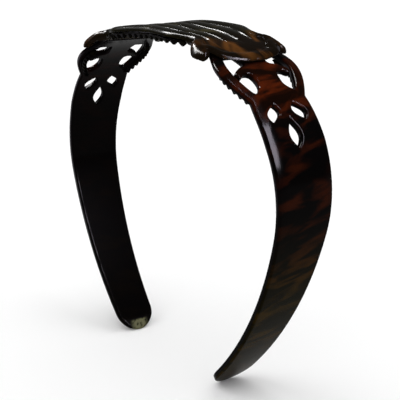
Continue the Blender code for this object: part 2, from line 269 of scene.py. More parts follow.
def steps(start, end, spacing):
    """Evenly spaced values from start to end, both kept."""
    count = max(1, round(abs(end - start) / spacing))
    return [start + (end - start) * i / count for i in range(count + 1)]


def smooth(points):
    """Points along a Catmull-Rom curve through the given ones."""
    ends = [points[0]] + points + [points[-1]]
    out = [points[0]]
    for a, b, c, d in zip(ends, ends[1:], ends[2:], ends[3:]):
        count = max(1, round(math.dist(b, c) / CURVE_STEP))
        for i in range(1, count + 1):
            t = i / count
            out.append(tuple(
                0.5 * (2 * q + (r - p) * t + (2 * p - 5 * q + 4 * r - o) * t * t
                       + (3 * q - p - 3 * r + o) * t ** 3)
                for p, q, r, o in zip(a, b, c, d)))
    return out


def mirrored(half):
    """Close a half outline, which starts and ends on the centre line, with its other side."""
    return half + [(s, -v) for s, v in reversed(half[1:-1])]


def one_way(loop):
    """The same loop, always drawn anticlockwise, so that its rounded edge lies on the right side."""
    area = sum(a[0] * b[1] - b[0] * a[1] for a, b in zip(loop, loop[1:] + loop[:1]))
    return loop if area > 0.0 else loop[::-1]


# %% [markdown]
# A flat piece starts as a filled curve: its outline, its holes and a rounded edge all round. It could
# be extruded and bevelled as a mesh, but a curve rounds the edges of all the openings at once. Turned
# into a mesh it is scored across, and along where it needs it, because only a scored face can follow a
# bend. Points that lie on top of each other are merged, so that the skin is closed.

# %% Flat pieces
MERGE = 0.002
EDGE_ROUNDS = 4


def flat_piece(name, loops, thickness, rounding):
    """Flat mesh between an outline and its holes, with rounded edges."""
    curve = bpy.data.curves.new(name, "CURVE")
    curve.dimensions = "2D"
    curve.fill_mode = "BOTH"
    for loop in loops:
        spline = curve.splines.new("POLY")
        spline.points.add(len(loop) - 1)
        spline.use_cyclic_u = True
        for point, (a, b) in zip(spline.points, one_way(loop)):
            point.co = (a, b, 0.0, 1.0)
    curve.extrude = thickness / 2 - rounding
    curve.bevel_depth = rounding
    curve.bevel_resolution = EDGE_ROUNDS
    curve.offset = -rounding
    piece = bpy.data.objects.new(name, curve)
    bpy.context.scene.collection.objects.link(piece)
    bpy.ops.object.select_all(action="DESELECT")
    bpy.context.view_layer.objects.active = piece
    piece.select_set(True)
    bpy.ops.object.convert(target="MESH")
    piece = bpy.context.object
    bpy.ops.object.mode_set(mode="EDIT")
    bpy.ops.mesh.select_all(action="SELECT")
    bpy.ops.mesh.remove_doubles(threshold=MERGE)
    bpy.ops.mesh.normals_make_consistent(inside=False)
    bpy.ops.object.mode_set(mode="OBJECT")
    return piece


def score(piece, axis, places):
    """Cut a flat mesh along straight lines, so that it can bend there."""
    bpy.context.view_layer.objects.active = piece
    bpy.ops.object.mode_set(mode="EDIT")
    for place in places:
        bpy.ops.mesh.select_all(action="SELECT")
        point = [0.0, 0.0, 0.0]
        normal = [0.0, 0.0, 0.0]
        point[axis] = place
        normal[axis] = 1.0
        bpy.ops.mesh.bisect(plane_co=point, plane_no=normal, threshold=MERGE)
    bpy.ops.object.mode_set(mode="OBJECT")
    print(piece.name, "scored into", len(piece.data.polygons), "faces")


# %% [markdown]
# Bending moves each point of the flat mesh to its place. A curve modifier could do it, but a formula
# gives each point its height as well, and the bend is then the same as in the solids. The flat place is
# kept as a map in centimetres, because the streaks of the plastic run along the sheet, and how near the
# outer face a point lies is kept too.

# %% Bending a flat piece
MAP_SCALE = 0.1
SMOOTH_ANGLE = math.radians(50.0)


def bend_piece(piece, place, thickness, side=1.0):
    """Move a flat mesh onto the hoop with place(s, v, level), and keep its flat pattern as a map."""
    mesh = piece.data
    flat = [vert.co.copy() for vert in mesh.vertices]
    for vert, co in zip(mesh.vertices, flat):
        vert.co = place(co.x, co.y, clamp(co.z / thickness + 0.5))
    pattern = mesh.uv_layers.new(name="pattern")
    for loop in mesh.loops:
        co = flat[loop.vertex_index]
        pattern.data[loop.index].uv = (side * co.x * MAP_SCALE, co.y * MAP_SCALE)
    outer = mesh.attributes.new("outer", "FLOAT", "POINT")
    for item, co in zip(outer.data, flat):
        item.value = clamp(co.z / thickness + 0.5)
    bpy.ops.object.select_all(action="DESELECT")
    bpy.context.view_layer.objects.active = piece
    piece.select_set(True)
    bpy.ops.object.mode_set(mode="EDIT")
    bpy.ops.mesh.select_all(action="SELECT")
    bpy.ops.mesh.normals_make_consistent(inside=False)
    bpy.ops.object.mode_set(mode="OBJECT")
    bpy.ops.object.shade_smooth_by_angle(angle=SMOOTH_ANGLE)
    bpy.ops.object.modifier_add(type="WEIGHTED_NORMAL")
    bpy.context.object.modifiers[-1].keep_sharp = True
    bpy.ops.object.modifier_apply(modifier=bpy.context.object.modifiers[-1].name)
    print(piece.name, "bent, with", len(mesh.vertices), "points")


# %% [markdown]
# The arm is one sheet. Its upper end tucks under the crest and widens into a heart, and the rest is a
# plain blade that tapers to a round tip. Its outline could be traced, but a formula for each stretch
# keeps the two long edges alike: half of it is drawn and then mirrored.

# %% Arm outline
ARM_HALF = 11.7
TIP_HALF = 8.1
TIP_LENGTH = 9.0
NECK_HALF = 11.0
NECK_TO_ARM = 15.0
LAP_START = 31.8
LAP_HALF = 11.5
OPENING_START = 40.0
OPENING_END = 57.6
HEART_WIDEST = 47.0
HEART_END = 60.4
HEART_HALF = 15.8
RIM_WIDTH = 4.0
SHIELD_HALF = 4.8
TIP_POINTS = 24


def heart_edge(s):
    """Half width of the heart from the lap to the neck."""
    if s < HEART_WIDEST:
        return LAP_HALF + (HEART_HALF - LAP_HALF) * ease(LAP_START, HEART_WIDEST, s)
    turn = math.pi / 2 * (s - HEART_WIDEST) / (HEART_END - HEART_WIDEST)
    return NECK_HALF + (HEART_HALF - NECK_HALF) * math.cos(turn)


def arm_outline():
    lap = [(LAP_START, 0.0)]
    heart = [(s, heart_edge(s)) for s in steps(LAP_START, HEART_END, CURVE_STEP)]
    shoulder = smooth([
        (HEART_END, NECK_HALF),
        (HEART_END + NECK_TO_ARM / 3, ARM_HALF - (ARM_HALF - NECK_HALF) / 3),
        (HEART_END + NECK_TO_ARM, ARM_HALF),
    ])
    tip = []
    for i in range(TIP_POINTS):
        turn = math.pi / 2 * i / TIP_POINTS
        tip.append((HOOP_LENGTH - TIP_LENGTH + TIP_LENGTH * math.sin(turn), TIP_HALF * math.cos(turn)))
    return mirrored(lap + heart + shoulder[1:] + tip + [(HOOP_LENGTH, 0.0)])


print("arm outline has", len(arm_outline()), "points")

# %% [markdown]
# The heart has two openings, which leave a rim, a shield in the middle and a scroll tongue that curls
# into each opening. Two leaves and a spindle are cut below it. They could be cut with Booleans, but as
# holes of the flat outline they get the same rounded edge as the rest of the sheet.

# %% Arm openings
TONGUE_TOP = 45.0
TONGUE_TIP = 50.8
TONGUE_THICK = 2.2
TONGUE_GAP = 0.9
LEAF_START = 62.5
LEAF_LENGTH = 5.9
LEAF_OUT = 3.8
LEAF_LEAN = 2.6
LEAF_HALF = 2.3
SPINDLE_START = 67.9
SPINDLE_LENGTH = 9.2
SPINDLE_HALF = 2.1
SPINDLE_BIAS = 1.2
LEAF_POINTS = 14


def heart_opening(side):
    """Opening between the rim, the round-ended scroll tongue and the shield."""
    rim_end = OPENING_END - RIM_WIDTH / 2
    rim = [(s, heart_edge(s) - RIM_WIDTH) for s in steps(OPENING_START, rim_end, CURVE_STEP)]
    rim_foot = rim[-1]
    tip_out = heart_edge(TONGUE_TIP) - RIM_WIDTH - TONGUE_GAP
    middle = (SHIELD_HALF + tip_out) / 2
    lower = smooth([
        rim_foot,
        (OPENING_END, (rim_foot[1] + SHIELD_HALF) / 2 + RIM_WIDTH / 5),
        (OPENING_END - RIM_WIDTH / 3, SHIELD_HALF + RIM_WIDTH / 4),
        ((OPENING_END + TONGUE_TIP) / 2, SHIELD_HALF),
        (TONGUE_TIP - TONGUE_THICK / 4, SHIELD_HALF + RIM_WIDTH / 8),
        (TONGUE_TIP - TONGUE_THICK / 2, middle),
        (TONGUE_TIP - TONGUE_THICK / 8, tip_out - TONGUE_THICK * 3 / 4),
        (TONGUE_TIP + TONGUE_THICK / 8, tip_out - TONGUE_THICK / 4),
        (TONGUE_TIP - TONGUE_THICK / 4, tip_out + TONGUE_THICK / 8),
        (TONGUE_TIP - TONGUE_THICK, tip_out),
        (TONGUE_TOP + TONGUE_THICK * 2 / 3, middle),
        (TONGUE_TOP, SHIELD_HALF),
        (OPENING_START, SHIELD_HALF + RIM_WIDTH / 5),
    ])
    return [(s, side * v) for s, v in rim + lower[1:]]


def leaf(side):
    """Pointed oval cut-out that leans outwards on its way to the tip."""
    upper, lower = [], []
    for i in range(LEAF_POINTS + 1):
        t = i / LEAF_POINTS
        s = LEAF_START + LEAF_LENGTH * t
        v = LEAF_OUT + LEAF_LEAN * t
        belly = LEAF_HALF * math.sin(math.pi * t)
        upper.append((s, side * (v + belly)))
        lower.append((s, side * (v - belly)))
    return upper + lower[-2:0:-1]


def spindle():
    """Slender centre cut-out, pointed at both ends and fullest past its middle."""
    half = []
    for t in steps(0.0, 1.0, 1.0 / LEAF_POINTS):
        belly = SPINDLE_HALF * math.sin(math.pi * t ** SPINDLE_BIAS)
        half.append((SPINDLE_START + SPINDLE_LENGTH * t, belly))
    return mirrored(half)


print("heart opening has", len(heart_opening(1.0)), "points")

# %% [markdown]
# A moulded sheet is never quite flat. The outer face falls a little towards the long edges of the upper
# arm, so that they catch the light, and the inner face is bevelled at the tip, to slide behind an ear.
# Both could be cut into the mesh, but they are simply heights, added while the sheet is bent. One flat
# arm is made and used twice, once for each side.

# %% Arms
ARM_ROUNDING = 0.8
ARM_SCORE = 2.5
FALL = 0.6
FALL_CURVE = 1.3
FALL_WIDTH = 3.5
FALL_LINES = (8.2, 9.2, 10.2, 11.0, 12.0, 13.0, 14.0, 15.0)
FALL_FADE = (78.0, 105.0)
FACET_START = 175.5
FACET_LIFT = 1.4
FACET_LINES = (175.3, 175.7)


def arm_edge(s):
    """Half width of the arm from the lap to the plain blade."""
    if s < HEART_END:
        return heart_edge(s)
    return NECK_HALF + (ARM_HALF - NECK_HALF) * ease(HEART_END, HEART_END + NECK_TO_ARM, s)


def edge_fall(s, v):
    """Fall of the outer face towards its long edges, which fades out down the arm."""
    out = max(0.0, 1.0 - (arm_edge(s) - abs(v)) / FALL_WIDTH)
    return FALL * out ** FALL_CURVE * (1.0 - ease(*FALL_FADE, s))


def tip_facet(s):
    """Lift of the inner face where the tip is bevelled to slide behind an ear."""
    return FACET_LIFT * max(0.0, (s - FACET_START) / (HOOP_LENGTH - FACET_START))


def make_arms():
    loops = [arm_outline(), heart_opening(1.0), heart_opening(-1.0), leaf(1.0), leaf(-1.0), spindle()]
    first = flat_piece("left_arm_shell", loops, SHEET, ARM_ROUNDING)
    score(first, 0, steps(LAP_START, HOOP_LENGTH, ARM_SCORE)[1:-1])
    score(first, 0, FACET_LINES)
    for across in (-1.0, 1.0):
        score(first, 1, [across * v for v in FALL_LINES])
    second = first.copy()
    second.data = first.data.copy()
    second.name = "right_arm_shell"
    bpy.context.scene.collection.objects.link(second)
    for piece, side in ((first, -1.0), (second, 1.0)):
        def place(s, v, level, side=side):
            inner = tip_facet(s) - SHEET
            return bend(side * s, v, inner * (1.0 - level) - edge_fall(s, v) * level)
        bend_piece(piece, place, SHEET, side)
    return first, second


left_arm, right_arm = make_arms()

# %% [markdown]
# The crest is the showpiece, a plate that lies over the ends of both arms. Each end has a lobe on
# either side and a collar between them. A quarter of the outline is drawn, with straight flanks, and
# mirrored twice. The flanks flare out later, together with the flutes, so that both follow one formula.

# %% Crest outline
WAIST_HALF = 15.6
FLARE_START = 4.0
FLARE_END = 16.0
FLARE_HALF = 16.4
PINCH_AT = 28.0
PINCH_HALF = 13.2
LOBE_LENGTH = 12.2
LOBE_HALF = 18.4
LOBE_WIDTH = 4.0
LOBE_DROOP = 2.4
LOBE_DEPTH = 2.0
NOTCH_RISE = 2.5
NOTCH_OUT = 14.0
COLLAR_END = 45.0
COLLAR_HALF = 8.0


def flare(s):
    """Widening of the crest with its flutes, up to the flanks and back to the pinch before a lobe."""
    wide = FLARE_HALF / WAIST_HALF
    pinched = PINCH_HALF / WAIST_HALF
    out = 1.0 + (wide - 1.0) * ease(FLARE_START, FLARE_END, abs(s))
    return out + (pinched - wide) * ease(FLARE_END, PINCH_AT, abs(s))


def crest_outline():
    """Outline of the crest before its flare: flanks, then two lobes and a collar at each end."""
    flank = [(s, PINCH_HALF) for s in steps(0.0, PINCH_AT, CURVE_STEP)]
    lobe_end = PINCH_AT + LOBE_LENGTH
    lobe_in = LOBE_HALF - LOBE_WIDTH
    notch_at = lobe_end - NOTCH_RISE
    lobe = smooth([
        (PINCH_AT, PINCH_HALF),
        (PINCH_AT + LOBE_LENGTH / 3, (PINCH_HALF + LOBE_HALF) / 2 + LOBE_WIDTH / 5),
        (PINCH_AT + LOBE_LENGTH * 2 / 3, LOBE_HALF),
        (lobe_end - NOTCH_RISE / 3, LOBE_HALF - LOBE_WIDTH / 4),
        (lobe_end, LOBE_HALF - LOBE_WIDTH / 2),
        (lobe_end - NOTCH_RISE / 3, lobe_in),
    ])
    drop = COLLAR_END - notch_at
    collar = smooth([
        (notch_at, NOTCH_OUT),
        (notch_at + drop / 4, NOTCH_OUT - LOBE_WIDTH / 4),
        (notch_at + drop * 2 / 3, (NOTCH_OUT + COLLAR_HALF) / 2),
        (COLLAR_END, COLLAR_HALF / 2),
        (COLLAR_END, 0.0),
    ])
    quarter = flank + lobe[1:] + collar
    upper = [(-s, v) for s, v in reversed(quarter[1:])] + quarter
    return [(s, v * WAIST_HALF / PINCH_HALF) for s, v in mirrored(upper)]


print("crest outline has", len(crest_outline()), "points")

# %% [markdown]
# Five half-round flutes fan out from a narrow waist and fade into a smooth collar at each end. The
# collar has a rolled edge, and its lobes droop beside the arms. All this could be sculpted by hand, but
# a height that is a formula of the place on the pattern changes with one number. The underside steps up
# over the arms and is rebated for the combs.

# %% Crest heights
RIB_COUNT = 5
RIB_HEIGHT = 1.05
RIB_SINK = 0.7
SHOULDER_FROM = 12.48
SHOULDER_FALL = 0.7
REAR_LIFT = 0.4
RIB_END = 35.0
RIB_ARC = 4.0
RIB_FADE = 7.0
COLLAR_LEVEL = 0.6
COLLAR_DOME = 0.3
ROLL_HEIGHT = 1.0
ROLL_WIDTH = 4.4
ROLL_START = 24.0
ROLL_FULL = 31.0
STEP_AT = 31.0
STEP_RAMP = 0.5
SEAT_HALF = 12.0
CREST_COMB_SHEET = 0.8
CREST_COMB_RECESS = 0.3
CREST_COMB_END = 24.5
FIT = 0.3


def lobe_droop(s, v):
    """Fall of the lobes beside the arms."""
    out = clamp((abs(v) * flare(s) - NOTCH_OUT) / (LOBE_HALF - NOTCH_OUT))
    return LOBE_DROOP * out * out * ease(PINCH_AT, PINCH_AT + LOBE_LENGTH / 2, abs(s))


def crest_top(s, v, to_edge):
    """Height of the crest at a point that lies a given way in from its outline."""
    across = (v + WAIST_HALF) / (2 * WAIST_HALF) * RIB_COUNT
    offset = 2.0 * (across - math.floor(across)) - 1.0
    rib = math.sqrt(max(0.0, 1.0 - offset * offset)) if abs(v) < WAIST_HALF else 0.0
    beside = clamp(abs(v) / WAIST_HALF) ** 2
    sink = RIB_SINK * ease(0.0, FLARE_END, abs(s)) * (1.0 - beside)
    shoulder = SHOULDER_FALL * (1.0 - rib) if abs(v) > SHOULDER_FROM else 0.0
    ribs = RIB_HEIGHT * rib + REAR_LIFT * clamp(across / RIB_COUNT) - sink - shoulder
    collar = COLLAR_LEVEL - COLLAR_DOME * beside
    rib_end = RIB_END - RIB_ARC * beside
    past = ease(rib_end - RIB_FADE, rib_end, abs(s))
    round_off = 2.0 * clamp(to_edge / ROLL_WIDTH) - 1.0
    roll = ROLL_HEIGHT * math.sqrt(1.0 - round_off * round_off) * ease(ROLL_START, ROLL_FULL, abs(s))
    return ribs + (collar - ribs) * past + roll - lobe_droop(s, v)


def crest_under(s, v):
    """Underside of the crest: up over the laps, deep under the lobes and rebated for the combs."""
    lap = clamp((abs(s) - STEP_AT) / STEP_RAMP)
    beside = clamp((abs(v) - SEAT_HALF) / STEP_RAMP)
    along = clamp((CREST_COMB_END + FIT + STEP_RAMP - abs(s)) / STEP_RAMP)
    rebate = (CREST_COMB_SHEET + FIT) * beside * along
    lobe = lap * clamp((abs(v) * flare(s) - NOTCH_OUT - FIT) / STEP_RAMP)
    over_lap = -SHEET + (SHEET + FIT) * lap + rebate - lobe_droop(s, v)
    return over_lap + (-LOBE_DEPTH - over_lap) * lobe


print("crest height at the crown", round(crest_top(0.0, 0.0, WAIST_HALF), 2), "mm")

# %% [markdown]
# The plate is scored closely both ways, because the flutes, the lobes and the rolled edge all bend its
# face. The rolled edge depends on how far in from the outline a point lies. That could be worked out
# line by line, but a search tree of the outline's points finds the nearest one quickly.

# %% Crest
CREST_ROUNDING = 1.1
CREST_SCORE = 0.9
RIB_SCORES = 12


def make_crest():
    outline = crest_outline()
    piece = flat_piece("crest_shell", [outline], SHEET, CREST_ROUNDING)
    score(piece, 0, steps(-FLARE_END, FLARE_END, ARM_SCORE))
    for end in (-1.0, 1.0):
        score(piece, 0, [end * s for s in steps(FLARE_END, COLLAR_END, CREST_SCORE)[1:-1]])
    score(piece, 1, steps(-WAIST_HALF, WAIST_HALF, 2 * WAIST_HALF / (RIB_COUNT * RIB_SCORES))[1:-1])
    lobe_side = (NOTCH_OUT + FIT) * WAIST_HALF / PINCH_HALF
    lobe_step = STEP_RAMP * WAIST_HALF / PINCH_HALF
    score(piece, 1, [-lobe_side - lobe_step, -lobe_side, lobe_side, lobe_side + lobe_step])
    edge = KDTree(len(outline))
    for index, (s, v) in enumerate(outline):
        edge.insert((s, v, 0.0), index)
    edge.balance()

    def place(s, v, level):
        to_edge = edge.find((s, v, 0.0))[2]
        under = crest_under(s, v)
        over = crest_top(s, v, to_edge)
        return bend(s, v * flare(s), under + (over - under) * level)

    bend_piece(piece, place, SHEET)
    return piece


crest = make_crest()

# %% [markdown]
# The combs keep the band in the hair: strips with a row of short pointed teeth. Each tooth could be a
# piece of its own, but one strip is closer to a moulded comb. It is drawn from the side, with its
# teeth, given a width, and bent along the edge that it lies under. A tooth is given by its pitch, its
# root and its length, and it narrows towards its point. The flat strip is one unit thick, because
# bending gives it its real width.

# %% Combs
FLAT_COMB = 1.0
COMB_ROUNDING = 0.12
COMB_SCORE = 1.2
TOOTH_POINT = 0.25
CREST_TOOTH = (3.5, 2.1, 1.4)
CREST_COMB_INSET = 0.2
HEART_TOOTH = (2.4, 1.6, 1.2)
HEART_COMB_START = 41.0
HEART_COMB_END = 59.5
HEART_COMB_WIDTH = 2.0
HEART_COMB_SHEET = 0.5
HEART_COMB_INSET = 1.5


def comb_outline(start, end, top, bottom, tooth):
    """Side view of a strip with a tooth at every pitch."""
    wanted_pitch, root, length = tooth
    count = max(2, round((end - start) / wanted_pitch))
    pitch = (end - start) / count
    loop = [(start, top), (start, bottom)]
    for i in range(count):
        middle = start + (i + 0.5) * pitch
        loop.append((middle - root / 2, bottom))
        loop.append((middle - root * TOOTH_POINT / 2, bottom - length))
        loop.append((middle + root * TOOTH_POINT / 2, bottom - length))
        loop.append((middle + root / 2, bottom))
    return loop + [(end, bottom), (end, top)]


def make_comb(name, edges, levels, start, end, tooth, side):
    """Comb between two edges of the pattern, with its teeth on the inner face."""
    top, bottom = levels
    outline = comb_outline(start, end, top, bottom, tooth)
    piece = flat_piece(name, [outline], FLAT_COMB, COMB_ROUNDING)
    score(piece, 0, steps(start, end, COMB_SCORE)[1:-1])
    tooth_length = tooth[-1]

    def place(s, w, level):
        inner, outer = edges(s)
        depth = clamp((bottom - w) / tooth_length)
        reach = (level - 0.5) * (1.0 - depth * (1.0 - TOOTH_POINT))
        return bend(side * s, (inner + outer) / 2 + (outer - inner) * reach, w)

    bend_piece(piece, place, FLAT_COMB)
    return piece


def crest_comb(end, across):
    def edges(s):
        inner = SEAT_HALF + STEP_RAMP + FIT
        outer = WAIST_HALF - CREST_COMB_INSET
        return across * inner * flare(s), across * outer * flare(s)
    levels = (CREST_COMB_SHEET - SHEET, CREST_COMB_RECESS - SHEET)
    name = "crest_" + end + "_teeth"
    return make_comb(name, edges, levels, -CREST_COMB_END, CREST_COMB_END, CREST_TOOTH, 1.0)


def heart_comb(hand, side, end, across):
    def edges(s):
        outer = heart_edge(s) - HEART_COMB_INSET
        return across * (outer - HEART_COMB_WIDTH), across * outer
    levels = (-SHEET - FIT, -SHEET - FIT - HEART_COMB_SHEET)
    name = hand + "_" + end + "_teeth"
    return make_comb(name, edges, levels, HEART_COMB_START, HEART_COMB_END, HEART_TOOTH, side)


SIDES = {"left": -1.0, "right": 1.0}
ENDS = {"front": -1.0, "rear": 1.0}
crest_combs = {end: crest_comb(end, across) for end, across in ENDS.items()}
heart_combs = {(hand, end): heart_comb(hand, side, end, across)
               for hand, side in SIDES.items() for end, across in ENDS.items()}

# %% [markdown]
# The plastic is a dark tortoiseshell: nearly black, with red-brown streaks across the arms and amber
# clouds on the crest. A painted picture could show it, but noise on the sheet's own map needs no
# picture, and its grain follows the bend. The noise is stepped between two levels, so that it gives
# patches and not a haze.

# %% Grain of the plastic
NOISE_DETAIL = 2.0


def new_shader(name):
    """New material, its node tree and its surface shader."""
    material = bpy.data.materials.new(name)
    material.use_nodes = True
    return material, material.node_tree, material.node_tree.nodes["Principled BSDF"]


def remap(tree, value, low, high, out_low=0.0, out_high=1.0):
    """Smooth step of a value between two levels."""
    node = tree.nodes.new("ShaderNodeMapRange")
    node.interpolation_type = "SMOOTHSTEP"
    levels = {"From Min": low, "From Max": high, "To Min": out_low, "To Max": out_high}
    for key, number in levels.items():
        node.inputs[key].default_value = number
    tree.links.new(value, node.inputs["Value"])
    return node.outputs["Result"]


def grain_noise(tree, turn, grain, levels, warp=0.0, detail=NOISE_DETAIL):
    """Noise on the flat pattern along a turned grain, whose two sizes are in centimetres."""
    source = tree.nodes.new("ShaderNodeUVMap")
    source.uv_map = "pattern"
    mapping = tree.nodes.new("ShaderNodeMapping")
    mapping.vector_type = "TEXTURE"
    mapping.inputs["Rotation"].default_value = (0.0, 0.0, turn)
    mapping.inputs["Scale"].default_value = (*grain, 1.0)
    tree.links.new(source.outputs["UV"], mapping.inputs["Vector"])
    node = tree.nodes.new("ShaderNodeTexNoise")
    node.inputs["Scale"].default_value = 1.0
    node.inputs["Detail"].default_value = detail
    node.inputs["Distortion"].default_value = warp
    tree.links.new(mapping.outputs["Vector"], node.inputs["Vector"])
    return remap(tree, node.outputs["Fac"], *levels)


# %% [markdown]
# The colour of a tortoiseshell sheet also changes from place to place. A second map could paint that,
# but the distances along and across the pattern are already in the first one, so a step between two
# distances is enough. The inner face and the walls of the openings get less colour than the outer face:
# this is painted shade.

# %% Colour by place
COLOUR_A = 6
COLOUR_B = 7
COLOUR_RESULT = 2
OUTER_FROM = (0.55, 0.95)


def multiply(tree, a, b):
    node = tree.nodes.new("ShaderNodeMath")
    node.operation = "MULTIPLY"
    tree.links.new(a, node.inputs[0])
    tree.links.new(b, node.inputs[1])
    return node.outputs["Value"]


def blend_colour(tree, factor, first, second):
    """Mix of two colours, each a colour or an output, on the mix node's colour sockets."""
    node = tree.nodes.new("ShaderNodeMix")
    node.data_type = "RGBA"
    tree.links.new(factor, node.inputs["Factor"])
    for socket, colour in ((COLOUR_A, first), (COLOUR_B, second)):
        if isinstance(colour, tuple):
            node.inputs[socket].default_value = (*colour, 1.0)
        else:
            tree.links.new(colour, node.inputs[socket])
    return node.outputs[COLOUR_RESULT]


def beyond(tree, axis, start, end, low=0.0, high=1.0):
    """Step between two distances from the crown or from the middle line, in centimetres on the map."""
    source = tree.nodes.new("ShaderNodeUVMap")
    source.uv_map = "pattern"
    parts = tree.nodes.new("ShaderNodeSeparateXYZ")
    tree.links.new(source.outputs["UV"], parts.inputs["Vector"])
    size = tree.nodes.new("ShaderNodeMath")
    size.operation = "ABSOLUTE"
    tree.links.new(parts.outputs[axis], size.inputs[0])
    return remap(tree, size.outputs["Value"], start, end, low, high)


def outer_share(tree, inner, outer=1.0):
    """One share on the inner face and another on the outer one."""
    node = tree.nodes.new("ShaderNodeAttribute")
    node.attribute_name = "outer"
    return remap(tree, node.outputs["Fac"], *OUTER_FROM, inner, outer)


# %% [markdown]
# The arms are nearly black. The hearts are streaked with red, the arms below them with brown, and the
# lower arms turn to olive. The lap is painted black up to the edge of the collar, as painted shade under
# the crest, and the inner face is painted darker, as painted shade. The inner face of each tip has a
# small pale patch, a painted highlight. The gloss could have the strength of real plastic, but the white
# floor would then turn the black to grey, so it is kept far lower.

# %% Plastic of the arms
BLACK = (0.0016, 0.0012, 0.0012)
RED_DARK = (0.0070, 0.0022, 0.0010)
RED_BROWN = (0.070, 0.0105, 0.0020)
BROWN = (0.022, 0.0046, 0.0017)
OLIVE = (0.0220, 0.0120, 0.0010)
DARK_OLIVE = (0.0040, 0.0032, 0.0004)
TIP_OLIVE = (0.0074, 0.0060, 0.0010)
STREAK_TURN = math.radians(12.0)
STREAK_GRAIN = (0.42, 1.4)
STREAK_LEVELS = (0.43, 0.65)
STREAK_WARP = 0.6
CLOUD_TURN = math.radians(20.0)
CLOUD_GRAIN = (1.1, 1.9)
CLOUD_LEVELS = (0.30, 0.54)
CLOUD_WARP = 0.3
SHADED_INNER_FLECKS = 0.05
SHADED_LAP_FLECKS = 0.2
RIM_FLECKS = 0.45
LAP_SHADE_END = (4.35, 4.75)
RED_END = (5.8, 7.2)
RIM_FROM = (0.75, 1.15)
OLIVE_START = (9.5, 13.5)
TIP_START = (15.0, 17.8)
PAINTED_TIP_HIGHLIGHT = (0.150, 0.148, 0.082)
SPECK_GRAIN = (0.12, 0.12)
SPECK_LEVELS = (0.25, 0.55)
TIP_HIGHLIGHT_FROM = (17.58, 17.68)
TIP_HIGHLIGHT_OUT = (0.18, 0.46)
ARM_ROUGHNESS = 0.14
ARM_SPECULAR = 0.012


def arm_plastic():
    material, tree, shader = new_shader("tortoiseshell_arm")
    streaks = grain_noise(tree, STREAK_TURN, STREAK_GRAIN, STREAK_LEVELS, STREAK_WARP)
    clouds = grain_noise(tree, CLOUD_TURN, CLOUD_GRAIN, CLOUD_LEVELS, CLOUD_WARP)
    upper = blend_colour(tree, beyond(tree, "X", *RED_END), RED_BROWN, BROWN)
    warm = blend_colour(tree, beyond(tree, "X", *OLIVE_START), upper, OLIVE)
    # The lap is painted black up to the edge of the collar, as painted shade under the crest, and keeps few flecks.
    ground = blend_colour(tree, beyond(tree, "X", *LAP_SHADE_END), BLACK, RED_DARK)
    ground = blend_colour(tree, beyond(tree, "X", *RED_END), ground, BLACK)
    ground = blend_colour(tree, beyond(tree, "X", *OLIVE_START), ground, DARK_OLIVE)
    ground = blend_colour(tree, beyond(tree, "X", *TIP_START), ground, TIP_OLIVE)
    # The inner face is painted black and keeps few flecks: painted shade.
    ground = blend_colour(tree, outer_share(tree, 0.0), BLACK, ground)
    flecks = multiply(tree, multiply(tree, streaks, clouds), outer_share(tree, SHADED_INNER_FLECKS))
    flecks = multiply(tree, flecks, beyond(tree, "X", *LAP_SHADE_END, SHADED_LAP_FLECKS, 1.0))
    flecks = multiply(tree, flecks, beyond(tree, "Y", *RIM_FROM, 1.0, RIM_FLECKS))
    colour = blend_colour(tree, flecks, ground, warm)
    # The pale patch on the inner face of each tip is a painted highlight, broken into specks.
    tip_highlight_out = beyond(tree, "Y", *TIP_HIGHLIGHT_OUT, 1.0, 0.0)
    tip_highlight_mask = multiply(tree, beyond(tree, "X", *TIP_HIGHLIGHT_FROM), tip_highlight_out)
    specks = grain_noise(tree, 0.0, SPECK_GRAIN, SPECK_LEVELS)
    tip_highlight_mask = multiply(tree, multiply(tree, tip_highlight_mask, specks), outer_share(tree, 1.0, 0.0))
    colour = blend_colour(tree, tip_highlight_mask, colour, PAINTED_TIP_HIGHLIGHT)
    tree.links.new(colour, shader.inputs["Base Color"])
    shader.inputs["Roughness"].default_value = ARM_ROUGHNESS
    shader.inputs["Specular IOR Level"].default_value = ARM_SPECULAR
    return material


arm_skin = arm_plastic()
print(arm_skin.name, "has", len(arm_skin.node_tree.nodes), "shader nodes")

# %% [markdown]
# The crest is a lighter mix: khaki clouds on dark flutes and amber patches on brown collars, fainter on
# the lobes. It could share the plastic of the arms, but its patches are rounder and paler. Its
# underside is painted dark, as painted shade, with few clouds.

# %% Plastic of the crest
AMBER = (0.100, 0.036, 0.0066)
KHAKI = (0.030, 0.025, 0.0095)
CREST_DARK = (0.0048, 0.0040, 0.0016)
DARK_BROWN = (0.0056, 0.0032, 0.0014)
CREST_GRAIN = (1.3, 0.75)
CREST_LEVELS = (0.51, 0.72)
CREST_WARP = 0.5
SHADED_UNDERSIDE_CLOUDS = 0.05
LOBE_CLOUDS = 0.3
COLLAR_FROM = (2.3, 3.3)
LOBES_FROM = (1.3, 1.65)
CREST_ROUGHNESS = 0.17
CREST_SPECULAR = 0.02


def crest_plastic():
    material, tree, shader = new_shader("tortoiseshell_crest")
    clouds = grain_noise(tree, 0.0, CREST_GRAIN, CREST_LEVELS, CREST_WARP)
    # The underside keeps few clouds and stays dark: painted shade.
    clouds = multiply(tree, clouds, outer_share(tree, SHADED_UNDERSIDE_CLOUDS))
    patches = multiply(tree, clouds, beyond(tree, "Y", *LOBES_FROM, 1.0, LOBE_CLOUDS))
    flutes = blend_colour(tree, clouds, CREST_DARK, KHAKI)
    collars = blend_colour(tree, patches, DARK_BROWN, AMBER)
    colour = blend_colour(tree, beyond(tree, "X", *COLLAR_FROM), flutes, collars)
    tree.links.new(colour, shader.inputs["Base Color"])
    shader.inputs["Roughness"].default_value = CREST_ROUGHNESS
    shader.inputs["Specular IOR Level"].default_value = CREST_SPECULAR
    return material


crest_skin = crest_plastic()
print(crest_skin.name, "has", len(crest_skin.node_tree.nodes), "shader nodes")

